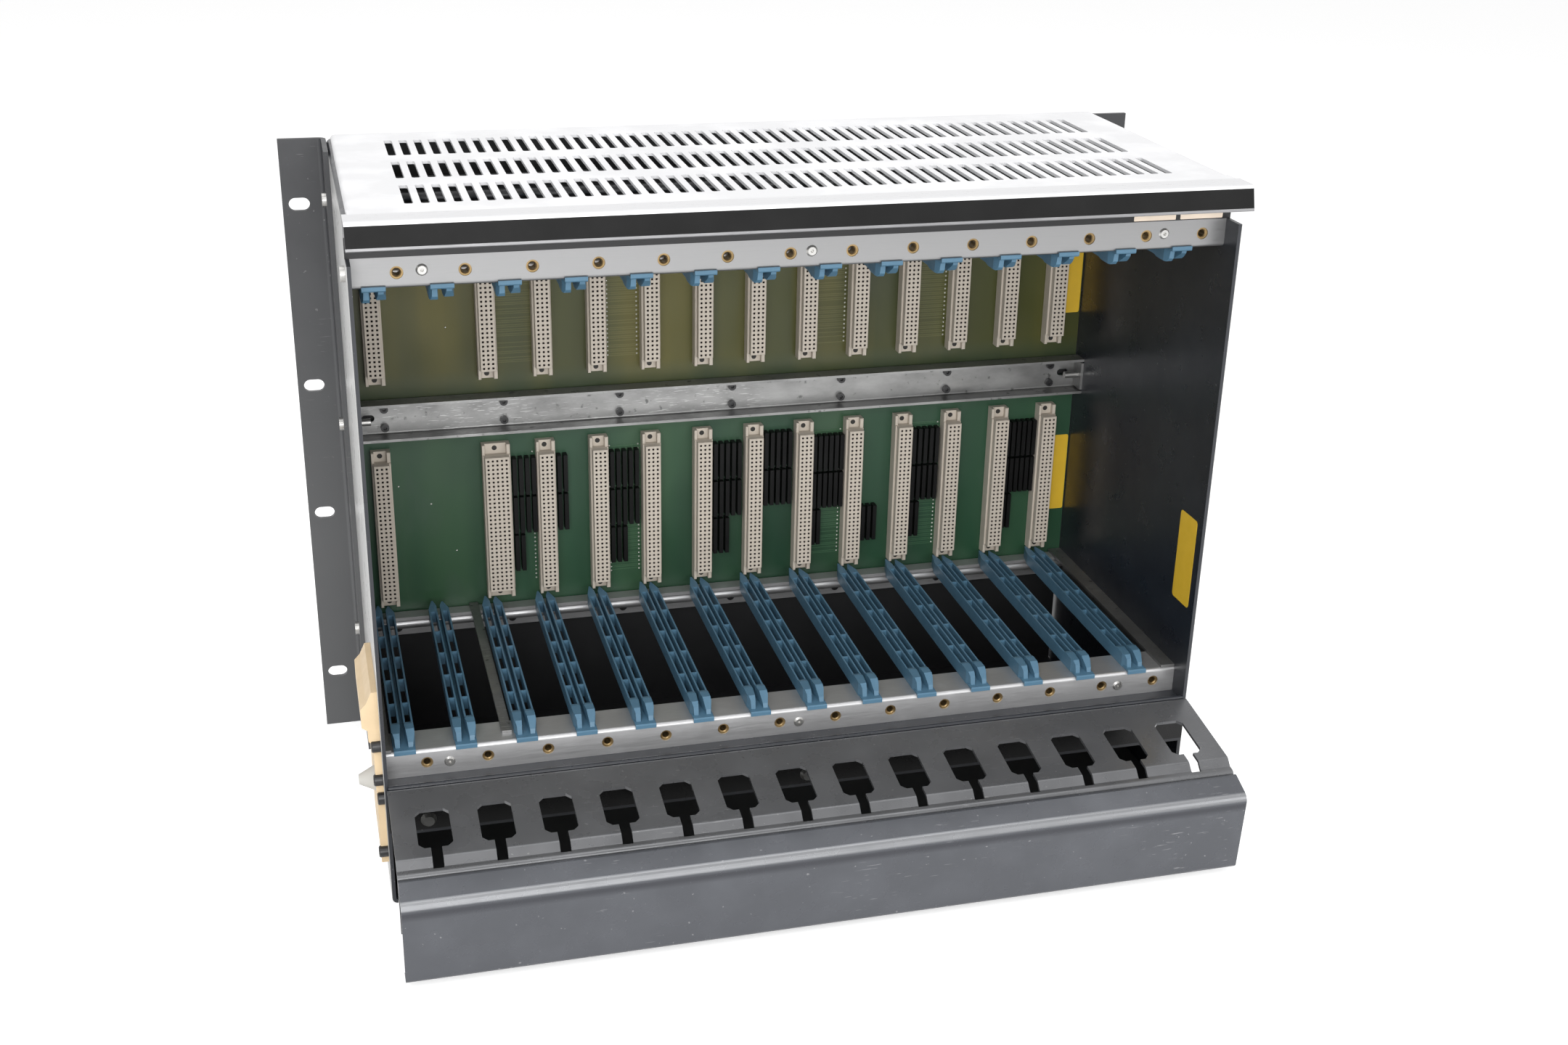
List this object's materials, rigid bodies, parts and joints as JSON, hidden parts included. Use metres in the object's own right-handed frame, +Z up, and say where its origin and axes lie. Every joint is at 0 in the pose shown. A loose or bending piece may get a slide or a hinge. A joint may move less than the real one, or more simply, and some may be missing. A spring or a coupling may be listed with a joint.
{
  "type": "subrack card cage",
  "caption": "Nineteen-inch subrack card cage, eight units high, with blue card guides, two backplanes, vented top cover and a keyhole cable tray at the front.",
  "frame": {"origin": "middle of the rectangle that the whole cage covers, on the surface that the side plates stand on", "axes": "+X to the right seen from the open front, +Y towards the rear, +Z up"},
  "size_m": [0.4826, 0.2748, 0.3527],
  "materials": {
    "dark_sheet": "satin anthracite sheet",
    "flange_paint": "satin dark grey",
    "cover_paint": "satin light silver-white",
    "bright_aluminium": "drawn aluminium profile",
    "rail_aluminium": "brushed light grey",
    "zinc_steel": "zinc-plated sheet",
    "bright_steel": "bright plated",
    "black_steel": "black oxide",
    "black_sheet": "matt black",
    "brass": "dull brass",
    "black_plastic": "black",
    "board_olive": "olive solder mask",
    "board_green": "green solder mask",
    "connector_beige": "beige moulded plastic",
    "guide_blue": "blue moulded plastic",
    "tray_paint": "satin dark grey",
    "trim_paint": "satin blue-grey",
    "strip_cream": "cream plastic"
  },
  "bodies": {
    "root": {"side_plate_left": "dark_sheet", "side_plate_right": "dark_sheet", "rack_flange_left": "flange_paint", "rack_flange_right": "flange_paint", "top_cover": "cover_paint", "fascia_profile": "bright_aluminium", "fascia_strip": "black_plastic", "front_rail_top": "rail_aluminium", "front_rail_bottom": "rail_aluminium", "rail_inserts": "brass", "rail_rivets": "bright_steel", "rear_rail_top": "rail_aluminium", "rear_rail_bottom": "rail_aluminium", "mid_channel": "zinc_steel", "backplane_upper": "board_olive", "backplane_lower": "board_green", "backplane_screws": "black_steel", "connectors_upper": "connector_beige", "connectors_lower": "connector_beige", "connector_wide": "connector_beige", "resistor_networks": "black_plastic", "side_ledge_left": "zinc_steel", "side_ledge_right": "zinc_steel", "depth_bar": "zinc_steel", "side_screws": "bright_steel", "lower_beam": "dark_sheet", "lower_rear_panel": "black_sheet", "base_plate": "black_sheet", "cable_tray": "tray_paint", "tray_trim": "trim_paint", "tray_screws": "bright_steel", "terminal_strip": "strip_cream", "guide_bottom_1": "guide_blue", "guide_bottom_2": "guide_blue", "guide_bottom_3": "guide_blue", "guide_bottom_4": "guide_blue", "guide_bottom_5": "guide_blue", "guide_bottom_6": "guide_blue", "guide_bottom_7": "guide_blue", "guide_bottom_8": "guide_blue", "guide_bottom_9": "guide_blue", "guide_bottom_10": "guide_blue", "guide_bottom_11": "guide_blue", "guide_bottom_12": "guide_blue", "guide_bottom_13": "guide_blue", "guide_bottom_14": "guide_blue", "guide_top_1": "guide_blue", "guide_top_2": "guide_blue", "guide_top_3": "guide_blue", "guide_top_4": "guide_blue", "guide_top_5": "guide_blue", "guide_top_6": "guide_blue", "guide_top_7": "guide_blue", "guide_top_8": "guide_blue", "guide_top_9": "guide_blue", "guide_top_10": "guide_blue", "guide_top_11": "guide_blue", "guide_top_12": "guide_blue", "guide_top_13": "guide_blue", "guide_top_14": "guide_blue"}
  },
  "joints": []
}
